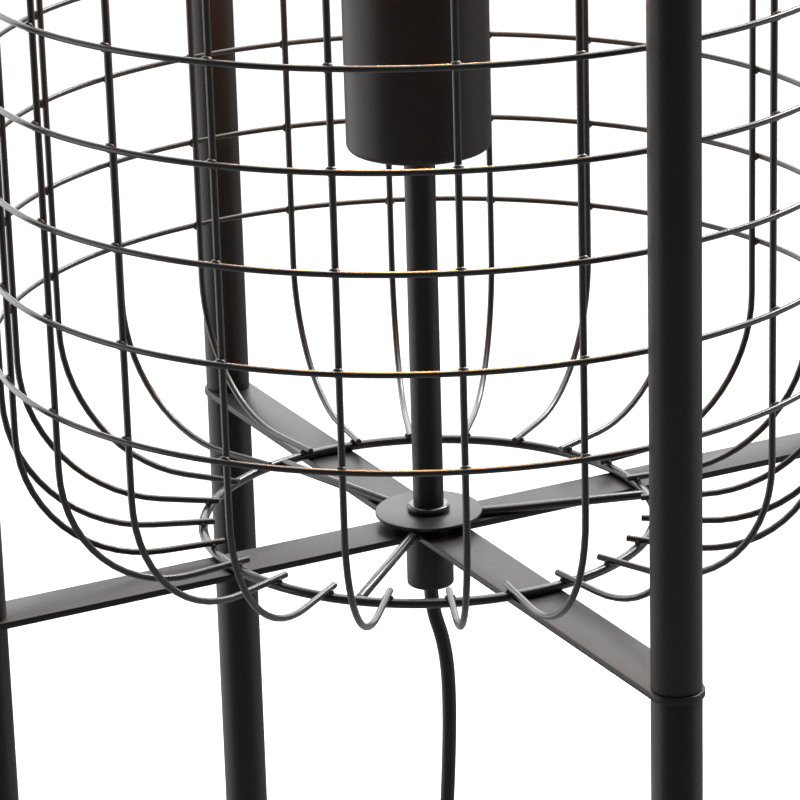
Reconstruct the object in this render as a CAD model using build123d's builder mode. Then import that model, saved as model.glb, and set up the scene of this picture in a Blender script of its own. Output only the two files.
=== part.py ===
"""Wire cage floor lamp: four split tube legs, two flat-bar crosses, a welded wire cage and a lampholder on a stem.

Millimetres, +Z up. The origin lies on the floor, midway between the four feet.
"""

import math
import os

from build123d import *

os.makedirs("parts", exist_ok=True)

# ---------------------------------------------------------------- driving sizes

# clearances
thread_clearance = 0.05  # radial, threaded pair drawn as plain cylinders
slip_clearance = 0.2  # radial, bolt or tube through a plain hole
moving_clearance = 0.3  # between a moving piece and what it passes
weld_clearance = 0.05  # where two round wires touch at a spot weld

# legs and poles
leg_count = 4
leg_spacing = 288.0  # centre to centre of neighbouring legs
leg_turn = 45.0  # direction of the first leg
tube_diameter = 20.0
tube_wall = 1.2
leg_tube_length = 776.0  # below the lower cross
foot_pad_height = 4.0
foot_spigot_length = 16.0
foot_chamfer = 1.0
plug_length = 14.0  # turned plug welded into a tube end
stud_diameter = 8.0
stud_reach = 12.0  # into the threaded plug
cap_height = 5.0  # domed screw head on each pole
cap_rim = 1.2

# flat-bar crosses
bar_width = 22.0
bar_thickness = 3.0

# cage
hoop_diameter = 360.0  # middle of the wire
hoop_wire = 2.5
hoop_count = 10
hoop_pitch = 39.0
end_hoop_rise = 87.5  # end ring to the nearest hoop
upright_wire = 2.8
upright_count = 24
upright_knee = 60.0  # bend radius, middle of the wire
upright_lap = 5.0  # how far a wire end runs past the middle of the end ring
end_ring_diameter = 192.0
end_ring_wire = 4.0
wire_sides = 6  # faces round a mesh wire, corner to corner its gauge
spoke_count = 3
spoke_wire = 4.0
spoke_turn = 30.0  # direction of the first spoke
spoke_inner_radius = 8.0
hub_disc_diameter = 45.5
hub_disc_thickness = 1.5
hub_disc_chamfer = 0.3

# stem and cord outlet
stem_diameter = 13.0
stem_bore = 10.6
stem_length = 159.5
collar_diameter = 18.3
collar_height = 3.0
collar_round = 1.2
conduit_diameter = 10.0
conduit_bore = 7.2
outlet_diameter = 20.0
outlet_length = 25.0
outlet_chamfer = 1.0
outlet_thread_depth = 11.0
outlet_chamber = 14.0
outlet_floor = 3.0
bush_neck = 9.0
bush_flange = 12.0
bush_flange_height = 3.0

# sleeve and lampholder
sleeve_diameter = 60.0
sleeve_length = 80.0
sleeve_wall = 1.2
sleeve_corner = 3.0
nut_width = 17.0  # across flats
nut_height = 3.0
holder_diameter = 38.0
holder_base_diameter = 24.0
holder_base_height = 9.0
holder_shoulder = 7.0
holder_length = 50.0
holder_floor = 20.0
holder_thread_depth = 8.0
holder_shell_wall = 0.5
holder_shell_length = 26.0
contact_width = 7.0
contact_height = 4.0

# bulb
cap_shell_diameter = 26.0
cap_shell_wall = 0.5
cap_shell_start = 5.0
cap_shell_end = 27.0
tip_diameter = 10.0
tip_height = 1.5
insulator_seat = 2.0
globe_diameter = 95.0
bulb_length = 140.0
glass_wall = 0.8
glass_neck_diameter = 26.4
glass_shoulder = 30.0
mount_diameter = 9.0
mount_flare = 1.5
mount_top = 62.0
filament_count = 6
filament_diameter = 1.8
filament_length = 40.0
filament_low_radius = 5.0
filament_high_radius = 9.5
crown_thickness = 0.8
crown_rim = 1.5
post_diameter = 1.2

# foot switch
switch_diameter = 64.0
switch_base_height = 14.0
switch_cover_height = 12.0
switch_wall = 2.0
switch_round = 5.0
switch_nose_wide = 12.0
switch_nose_narrow = 8.4
switch_nose_length = 20.0
switch_nose_level = 7.0
button_diameter = 24.0
button_height = 5.0
button_flange = 3.0
button_flange_height = 2.0
button_travel = 3.0
core_width = 20.0
switch_centre = (-10.0, 235.0)

# plug
plug_width = 35.0
plug_body_length = 36.0
plug_thickness = 13.7
plug_shoulder_width = 17.0
plug_edge_round = 2.0
plug_nose_length = 20.0
plug_nose_wide = 12.0
plug_nose_narrow = 8.0
pin_diameter = 4.0
pin_length = 19.0
pin_spacing = 18.6
plug_nose_end = (88.0, 262.0)

# cord
cord_diameter = 6.2
coil_outer_radius = 40.0
coil_turn_gap = 0.7  # between neighbouring turns and layers
coil_layer_half_turns = 4
coil_start = (-4.0, 342.0)

# ---------------------------------------------------------------- derived sizes

leg_radius = leg_spacing / math.sqrt(2)
tube_bore = tube_diameter - 2 * tube_wall
cross_bottom = foot_pad_height + leg_tube_length
cross_top = cross_bottom + bar_thickness
low_ring_level = cross_top + end_ring_wire / 2
cage_height = 2 * end_hoop_rise + (hoop_count - 1) * hoop_pitch
high_ring_level = low_ring_level + cage_height
high_cross_bottom = high_ring_level + end_ring_wire / 2
high_cross_top = high_cross_bottom + bar_thickness
upright_radius = (hoop_diameter - hoop_wire - upright_wire) / 2 - weld_clearance
upright_inset = (end_ring_wire + upright_wire) / 2 + weld_clearance
upright_low = low_ring_level + upright_inset
upright_high = high_ring_level - upright_inset
end_ring_radius = end_ring_diameter / 2
disc_bottom = low_ring_level + spoke_wire / 2
disc_top = disc_bottom + hub_disc_thickness
sleeve_bottom = disc_top + stem_length
sleeve_floor = sleeve_bottom + sleeve_wall
holder_bottom = sleeve_floor + nut_height
conduit_top = holder_bottom + holder_thread_depth
conduit_hole = conduit_diameter / 2 + slip_clearance
outlet_bottom = cross_bottom - outlet_length
holder_cavity_level = holder_bottom + holder_floor
shell_bore = cap_shell_diameter / 2 + moving_clearance
shell_radius = shell_bore + holder_shell_wall
holder_top = holder_bottom + holder_length
tip_level = holder_cavity_level + contact_height + moving_clearance
switch_top = switch_base_height + switch_cover_height
cord_radius = cord_diameter / 2


def save(piece, name):
    """Label a finished piece and write it as its own file."""
    piece.part.label = name
    export_step(piece.part, f"parts/{name}.step")


def leg_centre(index):
    """Centre of a leg on the floor plan."""
    angle = math.radians(leg_turn + index * 360 / leg_count)
    return leg_radius * math.cos(angle), leg_radius * math.sin(angle)


# ---------------------------------------------------------------- legs and poles

for index in range(leg_count):
    x, y = leg_centre(index)
    number = index + 1

    with BuildPart() as leg:
        with BuildSketch(Plane((x, y, foot_pad_height))):
            Circle(tube_diameter / 2)
            Circle(tube_bore / 2, mode=Mode.SUBTRACT)
        extrude(amount=leg_tube_length)
    save(leg, f"leg_{number}")

    with BuildPart() as pole:
        with BuildSketch(Plane((x, y, cross_top))):
            Circle(tube_diameter / 2)
            Circle(tube_bore / 2, mode=Mode.SUBTRACT)
        extrude(amount=high_cross_bottom - cross_top)
    save(pole, f"pole_{number}")

leg_places = PolarLocations(leg_radius, leg_count, leg_turn)

with BuildPart() as feet:
    with BuildSketch():
        with leg_places:
            Circle(tube_diameter / 2)
    extrude(amount=foot_pad_height)
    chamfer(feet.edges().group_by(Axis.Z)[0], foot_chamfer)
    with BuildSketch(Plane.XY.offset(foot_pad_height)):
        with leg_places:
            Circle(tube_bore / 2 - thread_clearance)
    extrude(amount=foot_spigot_length)
save(feet, "feet")


def threaded_plugs(top):
    """Turned plugs with a threaded hole, flush with the tube ends at a level."""
    with BuildPart() as plugs:
        with BuildSketch(Plane.XY.offset(top)):
            with leg_places:
                Circle(tube_bore / 2)
                Circle(stud_diameter / 2 + thread_clearance, mode=Mode.SUBTRACT)
        extrude(amount=-plug_length)
    return plugs


save(threaded_plugs(cross_bottom), "leg_plugs")
save(threaded_plugs(high_cross_bottom), "pole_top_plugs")

with BuildPart() as pole_studs:
    with BuildSketch(Plane.XY.offset(cross_top)):
        with leg_places:
            Circle(tube_bore / 2)
    extrude(amount=plug_length)
    with BuildSketch(Plane.XY.offset(cross_top)):
        with leg_places:
            Circle(stud_diameter / 2)
    extrude(amount=-(bar_thickness + stud_reach))
save(pole_studs, "pole_studs")

with BuildPart() as cap_screw:
    with BuildSketch(Plane.XZ.shift_origin((0, 0, high_cross_top))):
        with BuildLine():
            shank_end = -(bar_thickness + stud_reach)
            rim = (tube_diameter / 2, cap_rim)
            Polyline((0, cap_height), (0, shank_end), (stud_diameter / 2, shank_end),
                     (stud_diameter / 2, 0), (tube_diameter / 2, 0), rim)
            TangentArc((0, cap_height), rim, tangent=(1, 0))
        make_face()
    revolve(axis=Axis.Z)

with BuildPart() as cap_screws:
    with leg_places:
        add(cap_screw.part)
save(cap_screws, "cap_screws")

# ---------------------------------------------------------------- crosses


def flat_cross(bottom, centre_hole):
    """Two flat bars crossing in one plane, each end rounded about its leg."""
    with BuildPart() as cross:
        with BuildSketch(Plane.XY.offset(bottom)):
            for angle in (leg_turn, leg_turn + 90):
                SlotCenterToCenter(2 * leg_radius, bar_width, rotation=angle)
            with leg_places:
                Circle(stud_diameter / 2 + slip_clearance, mode=Mode.SUBTRACT)
            if centre_hole:
                Circle(conduit_hole, mode=Mode.SUBTRACT)
        extrude(amount=bar_thickness)
    return cross


save(flat_cross(cross_bottom, centre_hole=True), "lower_cross")
save(flat_cross(high_cross_bottom, centre_hole=False), "upper_cross")

# ---------------------------------------------------------------- cage


def wire_ring(radius, gauge, level):
    """A closed ring of mesh wire, middle radius and level given."""
    with BuildPart() as ring:
        with BuildSketch(Plane.XZ):
            with Locations((radius, level)):
                RegularPolygon(gauge / 2, wire_sides)
        revolve(axis=Axis.Z)
    return ring


for index in range(hoop_count):
    level = low_ring_level + end_hoop_rise + index * hoop_pitch
    save(wire_ring(hoop_diameter / 2, hoop_wire, level), f"cage_hoop_{index + 1:02d}")

save(wire_ring(end_ring_radius, end_ring_wire, low_ring_level), "cage_low_ring")
save(wire_ring(end_ring_radius, end_ring_wire, high_ring_level), "cage_high_ring")

# One upright: in from the low ring, up the side and in again to the high ring.
with BuildPart() as upright:
    with BuildLine(Plane.XZ) as upright_path:
        low_run = Line((end_ring_radius - upright_lap, upright_low), (upright_radius - upright_knee, upright_low))
        low_knee = JernArc(low_run @ 1, (1, 0), upright_knee, 90)
        side = Line(low_knee @ 1, (upright_radius, upright_high - upright_knee))
        high_knee = JernArc(side @ 1, (0, 1), upright_knee, 90)
        Line(high_knee @ 1, (end_ring_radius - upright_lap, upright_high))
    with BuildSketch(Plane(upright_path.line @ 0, z_dir=upright_path.line % 0)):
        RegularPolygon(upright_wire / 2, wire_sides)
    sweep()

with BuildPart() as cage_uprights:
    with PolarLocations(0, upright_count, 180 / upright_count):
        add(upright.part)
save(cage_uprights, "cage_uprights")

with BuildPart() as cage_spokes:
    for index in range(spoke_count):
        direction = Vector(1, 0, 0).rotate(Axis.Z, spoke_turn + index * 360 / spoke_count)
        start = direction * spoke_inner_radius + Vector(0, 0, low_ring_level)
        with BuildSketch(Plane(start, z_dir=direction)):
            Circle(spoke_wire / 2)
        extrude(amount=end_ring_radius - end_ring_wire / 2 - spoke_inner_radius)
save(cage_spokes, "cage_spokes")

with BuildPart() as hub_disc:
    with BuildSketch(Plane.XY.offset(disc_bottom)):
        Circle(hub_disc_diameter / 2)
        Circle(conduit_hole, mode=Mode.SUBTRACT)
    extrude(amount=hub_disc_thickness)
    chamfer(hub_disc.edges().group_by(Axis.Z)[-1].sort_by(SortBy.RADIUS)[-1], hub_disc_chamfer)
save(hub_disc, "cage_hub_disc")

# ---------------------------------------------------------------- stem and cord outlet

with BuildPart() as collar:
    with BuildSketch(Plane.XY.offset(disc_top)):
        Circle(collar_diameter / 2)
    extrude(amount=collar_height)
    fillet(collar.edges(), collar_round)
    with BuildSketch(Plane.XY.offset(disc_top)):
        Circle(stem_diameter / 2 + thread_clearance)
    extrude(amount=collar_height, mode=Mode.SUBTRACT)
save(collar, "stem_collar")

with BuildPart() as stem:
    with BuildSketch(Plane.XY.offset(disc_top)):
        Circle(stem_diameter / 2)
        Circle(stem_bore / 2, mode=Mode.SUBTRACT)
    extrude(amount=stem_length)
save(stem, "stem_tube")

with BuildPart() as conduit:
    with BuildSketch(Plane.XY.offset(cross_bottom - outlet_thread_depth)):
        Circle(conduit_diameter / 2)
        Circle(conduit_bore / 2, mode=Mode.SUBTRACT)
    extrude(amount=conduit_top - cross_bottom + outlet_thread_depth)
save(conduit, "threaded_conduit")

# The outlet is a turned cup that also nuts the conduit up against the lower cross.
with BuildPart() as outlet:
    with BuildSketch(Plane.XY.offset(outlet_bottom)):
        Circle(outlet_diameter / 2)
    extrude(amount=outlet_length)
    chamfer(outlet.edges().sort_by(Axis.Z)[0], outlet_chamfer)
    with BuildSketch(Plane.XY.offset(cross_bottom)):
        Circle(conduit_diameter / 2 + thread_clearance)
    extrude(amount=-outlet_thread_depth, mode=Mode.SUBTRACT)
    with BuildSketch(Plane.XY.offset(outlet_bottom + outlet_floor)):
        Circle(outlet_chamber / 2)
    extrude(amount=outlet_length - outlet_thread_depth - outlet_floor, mode=Mode.SUBTRACT)
    with BuildSketch(Plane.XY.offset(outlet_bottom)):
        Circle(bush_neck / 2 + thread_clearance)
    extrude(amount=outlet_floor, mode=Mode.SUBTRACT)
save(outlet, "cord_outlet")

with BuildPart() as bush:
    with BuildSketch(Plane.XY.offset(outlet_bottom)):
        Circle(bush_neck / 2)
    extrude(amount=outlet_floor)
    with BuildSketch(Plane.XY.offset(outlet_bottom + outlet_floor)):
        Circle(bush_flange / 2)
    extrude(amount=bush_flange_height)
    with BuildSketch(Plane.XY.offset(outlet_bottom)):
        Circle(cord_radius)
    extrude(amount=outlet_floor + bush_flange_height, mode=Mode.SUBTRACT)
save(bush, "cord_bush")

with BuildPart() as inner_cable:
    with BuildSketch(Plane.XY.offset(outlet_bottom)):
        Circle(cord_radius)
    extrude(amount=conduit_top - outlet_bottom)
save(inner_cable, "inner_cable")

# ---------------------------------------------------------------- sleeve and lampholder

with BuildPart() as sleeve:
    with BuildSketch(Plane.XY.offset(sleeve_bottom)):
        Circle(sleeve_diameter / 2)
    extrude(amount=sleeve_length)
    fillet(sleeve.edges().sort_by(Axis.Z)[0], sleeve_corner)
    offset(amount=-sleeve_wall, openings=sleeve.faces().sort_by(Axis.Z)[-1])
    with BuildSketch(Plane.XY.offset(sleeve_bottom)):
        Circle(conduit_hole)
    extrude(amount=sleeve_wall, mode=Mode.SUBTRACT)
save(sleeve, "sleeve")

with BuildPart() as nut:
    with BuildSketch(Plane.XY.offset(sleeve_floor)):
        RegularPolygon(nut_width / 2, 6, major_radius=False)
        Circle(conduit_diameter / 2 + thread_clearance, mode=Mode.SUBTRACT)
    extrude(amount=nut_height)
save(nut, "conduit_nut")

with BuildPart() as holder:
    with BuildSketch(Plane.XZ):
        with BuildLine():
            bottom = holder_bottom
            base_top = bottom + holder_base_height
            Polyline((0, bottom), (holder_base_diameter / 2, bottom), (holder_base_diameter / 2, base_top),
                     (holder_diameter / 2, base_top + holder_shoulder), (holder_diameter / 2, holder_top),
                     (0, holder_top), close=True)
        make_face()
    revolve(axis=Axis.Z)
    with BuildSketch(Plane.XY.offset(holder_cavity_level)):
        Circle(shell_radius)
    extrude(amount=holder_top - holder_cavity_level, mode=Mode.SUBTRACT)
    with BuildSketch(Plane.XY.offset(holder_bottom)):
        Circle(conduit_diameter / 2 + thread_clearance)
    extrude(amount=holder_thread_depth, mode=Mode.SUBTRACT)
save(holder, "lampholder")

with BuildPart() as holder_shell:
    with BuildSketch(Plane.XY.offset(holder_cavity_level)):
        Circle(shell_radius)
        Circle(shell_bore, mode=Mode.SUBTRACT)
    extrude(amount=holder_shell_length)
save(holder_shell, "holder_screw_shell")

with BuildPart() as contact:
    with BuildSketch(Plane.XY.offset(holder_cavity_level)):
        Rectangle(contact_width, contact_width)
    extrude(amount=contact_height)
    fillet(contact.edges().group_by(Axis.Z)[-1], 1)
save(contact, "holder_contact")

# ---------------------------------------------------------------- bulb

globe_radius = globe_diameter / 2
neck_radius = glass_neck_diameter / 2
glass_bottom = tip_level + cap_shell_end
globe_level = tip_level + bulb_length - globe_radius
shoulder_offset = neck_radius + glass_shoulder
shoulder_drop = math.sqrt((globe_radius + glass_shoulder) ** 2 - shoulder_offset**2)
shoulder_level = globe_level - shoulder_drop
shoulder_angle = math.degrees(math.atan2(shoulder_drop, shoulder_offset))

with BuildPart() as tip:
    with BuildSketch(Plane.XY.offset(tip_level)):
        Circle(tip_diameter / 2)
    extrude(amount=tip_height)
save(tip, "bulb_tip_contact")

with BuildPart() as insulator:
    seat_radius = cap_shell_diameter / 2 - cap_shell_wall
    with BuildSketch(Plane.XZ):
        with BuildLine():
            Polyline((0, tip_level + tip_height), (tip_diameter / 2, tip_level + tip_height),
                     (seat_radius, tip_level + cap_shell_start),
                     (seat_radius, tip_level + cap_shell_start + insulator_seat),
                     (0, tip_level + cap_shell_start + insulator_seat), close=True)
        make_face()
    revolve(axis=Axis.Z)
save(insulator, "bulb_insulator")

with BuildPart() as cap_shell:
    with BuildSketch(Plane.XY.offset(tip_level + cap_shell_start)):
        Circle(cap_shell_diameter / 2)
        Circle(cap_shell_diameter / 2 - cap_shell_wall, mode=Mode.SUBTRACT)
    extrude(amount=cap_shell_end - cap_shell_start)
save(cap_shell, "bulb_screw_cap")


def envelope(inset):
    """Half section of the glass: neck, shoulder arc and globe, drawn in from the outside by inset."""
    with BuildSketch(Plane.XZ) as section:
        with BuildLine():
            axis_top = (0, globe_level + globe_radius - inset)
            axis_bottom = (0, glass_bottom)
            neck_foot = (neck_radius - inset, glass_bottom)
            Line(axis_top, axis_bottom)
            Line(axis_bottom, neck_foot)
            Line(neck_foot, (neck_radius - inset, shoulder_level))
            CenterArc((shoulder_offset, shoulder_level), glass_shoulder + inset, 180, -shoulder_angle)
            CenterArc((0, globe_level), globe_radius - inset, -shoulder_angle, 90 + shoulder_angle)
        make_face()
    return section.sketch


with BuildPart() as glass:
    revolve(envelope(0), axis=Axis.Z)
    revolve(envelope(glass_wall), axis=Axis.Z, mode=Mode.SUBTRACT)
save(glass, "bulb_glass")

with BuildPart() as mount:
    with BuildSketch(Plane.XY.offset(glass_bottom)):
        Circle(neck_radius - glass_wall)
    extrude(amount=mount_flare)
    with BuildSketch(Plane.XY.offset(glass_bottom + mount_flare)):
        Circle(mount_diameter / 2)
    extrude(amount=mount_top - cap_shell_end - mount_flare)
save(mount, "bulb_stem")

# Filaments lean outwards between a low and a high crown that share one post.
low_crown = tip_level + mount_top
filament_foot = low_crown + crown_thickness
filament_head = filament_foot + filament_length

with BuildPart() as crowns:
    with BuildSketch(Plane.XY.offset(low_crown)):
        Circle(filament_low_radius + crown_rim)
    extrude(amount=crown_thickness)
    with BuildSketch(Plane.XY.offset(filament_foot)):
        Circle(post_diameter / 2)
    extrude(amount=filament_length)
    with BuildSketch(Plane.XY.offset(filament_head)):
        Circle(filament_high_radius + crown_rim)
    extrude(amount=crown_thickness)
save(crowns, "bulb_crowns")

with BuildPart() as filament:
    with BuildSketch(Plane((filament_low_radius, 0, filament_foot))):
        Circle(filament_diameter / 2)
    with BuildSketch(Plane((filament_high_radius, 0, filament_head))):
        Circle(filament_diameter / 2)
    loft()

with BuildPart() as filaments:
    with PolarLocations(0, filament_count):
        add(filament.part)
save(filaments, "bulb_filaments")

# ---------------------------------------------------------------- foot switch

switch_plane = Plane((*switch_centre, 0))
switch_radius = switch_diameter / 2
nose_reach = switch_radius + switch_nose_length

with BuildPart() as switch_base:
    with BuildSketch(switch_plane):
        Circle(switch_radius)
    extrude(amount=switch_base_height)
    with BuildSketch(switch_plane.offset(switch_wall)):
        Circle(switch_radius - switch_wall)
    extrude(amount=switch_base_height - switch_wall, mode=Mode.SUBTRACT)
    for side in (1, -1):
        nose_root = (switch_centre[0], switch_centre[1] + side * (switch_radius - switch_wall), switch_nose_level)
        nose_tip = (switch_centre[0], switch_centre[1] + side * nose_reach, switch_nose_level)
        with BuildSketch(Plane(nose_root, z_dir=(0, side, 0))):
            Circle(switch_nose_wide / 2)
        with BuildSketch(Plane(nose_tip, z_dir=(0, side, 0))):
            Circle(switch_nose_narrow / 2)
        loft()
save(switch_base, "switch_base")

with BuildPart() as switch_cover:
    with BuildSketch(switch_plane.offset(switch_base_height)):
        Circle(switch_radius)
    extrude(amount=switch_cover_height)
    fillet(switch_cover.edges().sort_by(Axis.Z)[-1], switch_round)
    offset(amount=-switch_wall, openings=switch_cover.faces().sort_by(Axis.Z)[0])
    with BuildSketch(switch_plane.offset(switch_top)):
        Circle(button_diameter / 2 + moving_clearance)
    extrude(amount=-switch_wall, mode=Mode.SUBTRACT)
save(switch_cover, "switch_cover")

flange_top = switch_top - switch_wall - moving_clearance

with BuildPart() as button:
    with BuildSketch(switch_plane.offset(flange_top - button_flange_height)):
        Circle(button_diameter / 2 + button_flange)
    extrude(amount=button_flange_height)
    with BuildSketch(switch_plane.offset(flange_top)):
        Circle(button_diameter / 2)
    extrude(amount=switch_top + button_height - flange_top)
    fillet(button.edges().sort_by(Axis.Z)[-1], 1.5)
save(button, "switch_button")

with BuildPart() as core:
    core_height = flange_top - button_flange_height - button_travel - moving_clearance - switch_wall
    with BuildSketch(switch_plane.offset(switch_wall)):
        RectangleRounded(core_width, core_width, 2)
    extrude(amount=core_height)
save(core, "switch_core")

# ---------------------------------------------------------------- plug

plug_level = plug_thickness / 2
nose_x, nose_y = plug_nose_end
body_back = nose_y - plug_nose_length
body_front = body_back - plug_body_length

with BuildPart() as plug:
    with BuildSketch():
        with BuildLine():
            half_back = plug_shoulder_width / 2
            half_front = plug_width / 2
            shoulder_y = body_back - (half_front - half_back)
            Polyline((nose_x - half_back, body_back), (nose_x - half_front, shoulder_y),
                     (nose_x - half_front, body_front), (nose_x + half_front, body_front),
                     (nose_x + half_front, shoulder_y), (nose_x + half_back, body_back), close=True)
        make_face()
    extrude(amount=plug_thickness)
    fillet(plug.edges().filter_by(Axis.Z), plug_edge_round)
    fillet(plug.edges().group_by(Axis.Z)[-1], plug_edge_round)
    with BuildSketch(Plane((nose_x, body_back, plug_level), z_dir=(0, 1, 0))):
        Circle(plug_nose_wide / 2)
    with BuildSketch(Plane((nose_x, nose_y, plug_level), z_dir=(0, 1, 0))):
        Circle(plug_nose_narrow / 2)
    loft()
save(plug, "plug_body")

with BuildPart() as pins:
    with BuildSketch(Plane((nose_x, body_front, plug_level), x_dir=(1, 0, 0), z_dir=(0, -1, 0))):
        with GridLocations(pin_spacing, 0, 2, 1):
            Circle(pin_diameter / 2)
    extrude(amount=pin_length)
    fillet(pins.edges().group_by(Axis.Y)[0], 1)
save(pins, "plug_pins")

# ---------------------------------------------------------------- cord


def corner_radii(points):
    """The largest arc that each corner's two runs allow."""
    radii = []
    for before, corner, after in zip(points, points[1:], points[2:]):
        arriving = corner - before
        leaving = after - corner
        half_turn = math.radians(arriving.get_angle(leaving)) / 2
        radii.append(0.45 * min(arriving.length, leaving.length) / math.tan(half_turn))
    return radii


def cord_tube(name, route):
    """A free stretch of cord: straight runs joined by tangent arcs."""
    points = [Vector(*point) for point in route]
    radii = corner_radii(points)
    with BuildPart() as tube:
        with BuildLine() as path:
            FilletPolyline(*points, radius=radii)
        wire = path.wires()[0]
        with BuildSketch(Plane(wire @ 0, z_dir=wire % 0)):
            Circle(cord_radius)
        sweep()
    share = tube.part.volume / (math.pi * cord_radius**2 * wire.length)
    print(f"{name}: length {wire.length:.0f}, volume over section x length {share:.4f}")
    print("  radii", [round(radius) for radius in radii])
    save(tube, name)
    return wire.length


# The drop leaves the bush, hangs almost straight to the floor and runs back to the switch.
drop_route = [
    (0, 0, outlet_bottom),
    (0, 0, 744),
    (5.0, 1.7, 727),
    (6.6, 2.2, 705),
    (5.5, 1.8, 667),
    (1.8, 0.7, 611),
    (-1.5, -1.5, 540),
    (-1.0, -3.8, 458),
    (2.5, -4.2, 372),
    (4.6, -1.5, 287),
    (3.2, 2.0, 206),
    (0.5, 4.0, 136),
    (0.4, 9.0, 82),
    (2.0, 21.0, 41),
    (3.0, 43.0, 15),
    (0.0, 74.0, cord_radius + 1),
    (-7.0, 107.0, cord_radius),
    (-11.5, 131.0, cord_radius + 0.1),
    (-11.2, 149.5, 4.9),
    (switch_centre[0], 166.5, switch_nose_level),
    (switch_centre[0], switch_centre[1] - nose_reach, switch_nose_level),
]
lead_route = [
    (switch_centre[0], switch_centre[1] + nose_reach, switch_nose_level),
    (switch_centre[0], 298, switch_nose_level),
    (-7.4, 311, 4.9),
    (coil_start[0], 323.5, cord_radius),
    (coil_start[0], coil_start[1] - cord_diameter, cord_radius),
]
cord_length = cord_tube("cord_drop", drop_route)
cord_length += cord_tube("cord_lead", lead_route)

# The coil is one tube of half turns. Each is a semicircle whose ends point along Y, and its radius differs
# from the last by half the spacing of the turns. The innermost one is tipped, to climb to the second layer.
turn_spacing = cord_diameter + coil_turn_gap
inward_radii = [coil_outer_radius - step * turn_spacing / 2 for step in range(coil_layer_half_turns)]
climb_radius = coil_outer_radius - coil_layer_half_turns * turn_spacing / 2
half_turn_radii = inward_radii + [climb_radius] + inward_radii[::-1]

with BuildPart() as coil:
    with BuildLine() as coil_path:
        here = Vector(*coil_start, cord_radius)
        heading = 1
        Line(here - Vector(0, cord_diameter, 0), here)
        for radius in half_turn_radii:
            rise = turn_spacing if radius == climb_radius else 0
            there = here + Vector(heading * math.sqrt(4 * radius**2 - rise**2), 0, rise)
            crest = (here + there) * 0.5 + Vector(0, heading * radius, 0)
            ThreePointArc(here, crest, there)
            here = there
            heading = -heading
        coil_end = here + Vector(0, heading * cord_diameter, 0)
        Line(here, coil_end)
    coil_wire = coil_path.wires()[0]
    with BuildSketch(Plane(coil_wire @ 0, z_dir=coil_wire % 0)):
        Circle(cord_radius)
    sweep()

# Points at equal steps along the coil, and the least distance between any two more than half a turn apart.
sample_step = 2.0
sample_count = int(coil_wire.length / sample_step)
samples = [coil_wire @ (index / sample_count) for index in range(sample_count + 1)]
apart = int(math.pi * climb_radius / sample_step)
self_gap = min(
    (second - first).length
    for index, first in enumerate(samples)
    for second in samples[index + apart:]
) - cord_diameter
share = coil.part.volume / (math.pi * cord_radius**2 * coil_wire.length)
print(f"cord_coil: length {coil_wire.length:.0f}, volume over section x length {share:.4f}, self gap {self_gap:.2f}")
save(coil, "cord_coil")
cord_length += coil_wire.length

tail_route = [
    tuple(coil_end),
    (coil_end.X, coil_end.Y - 13, coil_end.Z),
    (coil_end.X + 2.6, coil_end.Y - 28, coil_end.Z - 2.8),
    (coil_end.X + 7.2, coil_end.Y - 43, coil_end.Z - 5.0),
    (nose_x, nose_y + 14, plug_level),
    (nose_x, nose_y, plug_level),
]
cord_length += cord_tube("cord_tail", tail_route)
print(f"cord: outlet to plug {cord_length:.0f}")
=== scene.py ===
import math

import bmesh
import bpy
from bpy.props import FloatProperty, FloatVectorProperty, IntProperty, PointerProperty
from bpy.types import Operator, Panel, PropertyGroup
from mathutils import Matrix, Vector


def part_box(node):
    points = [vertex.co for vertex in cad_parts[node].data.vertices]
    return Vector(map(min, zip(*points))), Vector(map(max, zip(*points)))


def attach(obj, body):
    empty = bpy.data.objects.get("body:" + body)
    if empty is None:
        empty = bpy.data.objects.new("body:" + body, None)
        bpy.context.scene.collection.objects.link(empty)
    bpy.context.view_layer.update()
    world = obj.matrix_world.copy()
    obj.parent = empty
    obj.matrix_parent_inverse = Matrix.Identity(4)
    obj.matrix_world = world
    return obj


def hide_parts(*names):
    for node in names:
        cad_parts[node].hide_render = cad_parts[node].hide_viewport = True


bl_info = {
    "name": "Wire Cage Floor Lamp",
    "version": (1, 0, 0),
    "blender": (4, 5, 0),
    "location": "View3D > Sidebar > Cage Lamp",
    "description": "Dresses the packed floor lamp with smooth wires, tubes, finishes and a studio",
    "category": "Object",
}

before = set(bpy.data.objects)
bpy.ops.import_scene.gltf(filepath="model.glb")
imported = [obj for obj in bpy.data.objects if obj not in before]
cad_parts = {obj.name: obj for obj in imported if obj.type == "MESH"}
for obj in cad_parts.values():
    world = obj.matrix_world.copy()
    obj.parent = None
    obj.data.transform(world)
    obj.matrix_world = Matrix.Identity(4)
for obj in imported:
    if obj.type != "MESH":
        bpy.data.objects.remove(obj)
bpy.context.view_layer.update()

MM = 0.001
ORIGIN = (0, 0, 0)
WHITE = (1, 1, 1)
CORNERS = range(1, 5)  # legs and poles
HOOPS = range(1, 11)
HOOP_RADIUS = 180.0 * MM
RING_RADIUS = 96.0 * MM
CONDUIT_HOLE = 5.2 * MM
THREAD_HOLE = 5.05 * MM
TOUCH = 0.05 * MM  # room left between two pieces that touch
SAME = 1e-6  # points nearer than this are one point
INWARDS = -1  # a wall grows to the inside of its shell


def heights(node):
    """Lowest and highest level of a CAD node."""
    low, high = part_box(node)
    return low[2], high[2]


def centre_of(node):
    """Middle of a CAD node's box."""
    low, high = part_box(node)
    return (Vector(low) + Vector(high)) / 2


def size_of(node):
    """Lengths of a CAD node's box."""
    low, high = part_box(node)
    return Vector(high) - Vector(low)


def radius_of(node):
    """Radius of an upright round CAD node."""
    return size_of(node).x / 2


def foot_of(node):
    """The point of the floor under a CAD node's middle."""
    middle = centre_of(node)
    return middle.x, middle.y, 0


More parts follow.
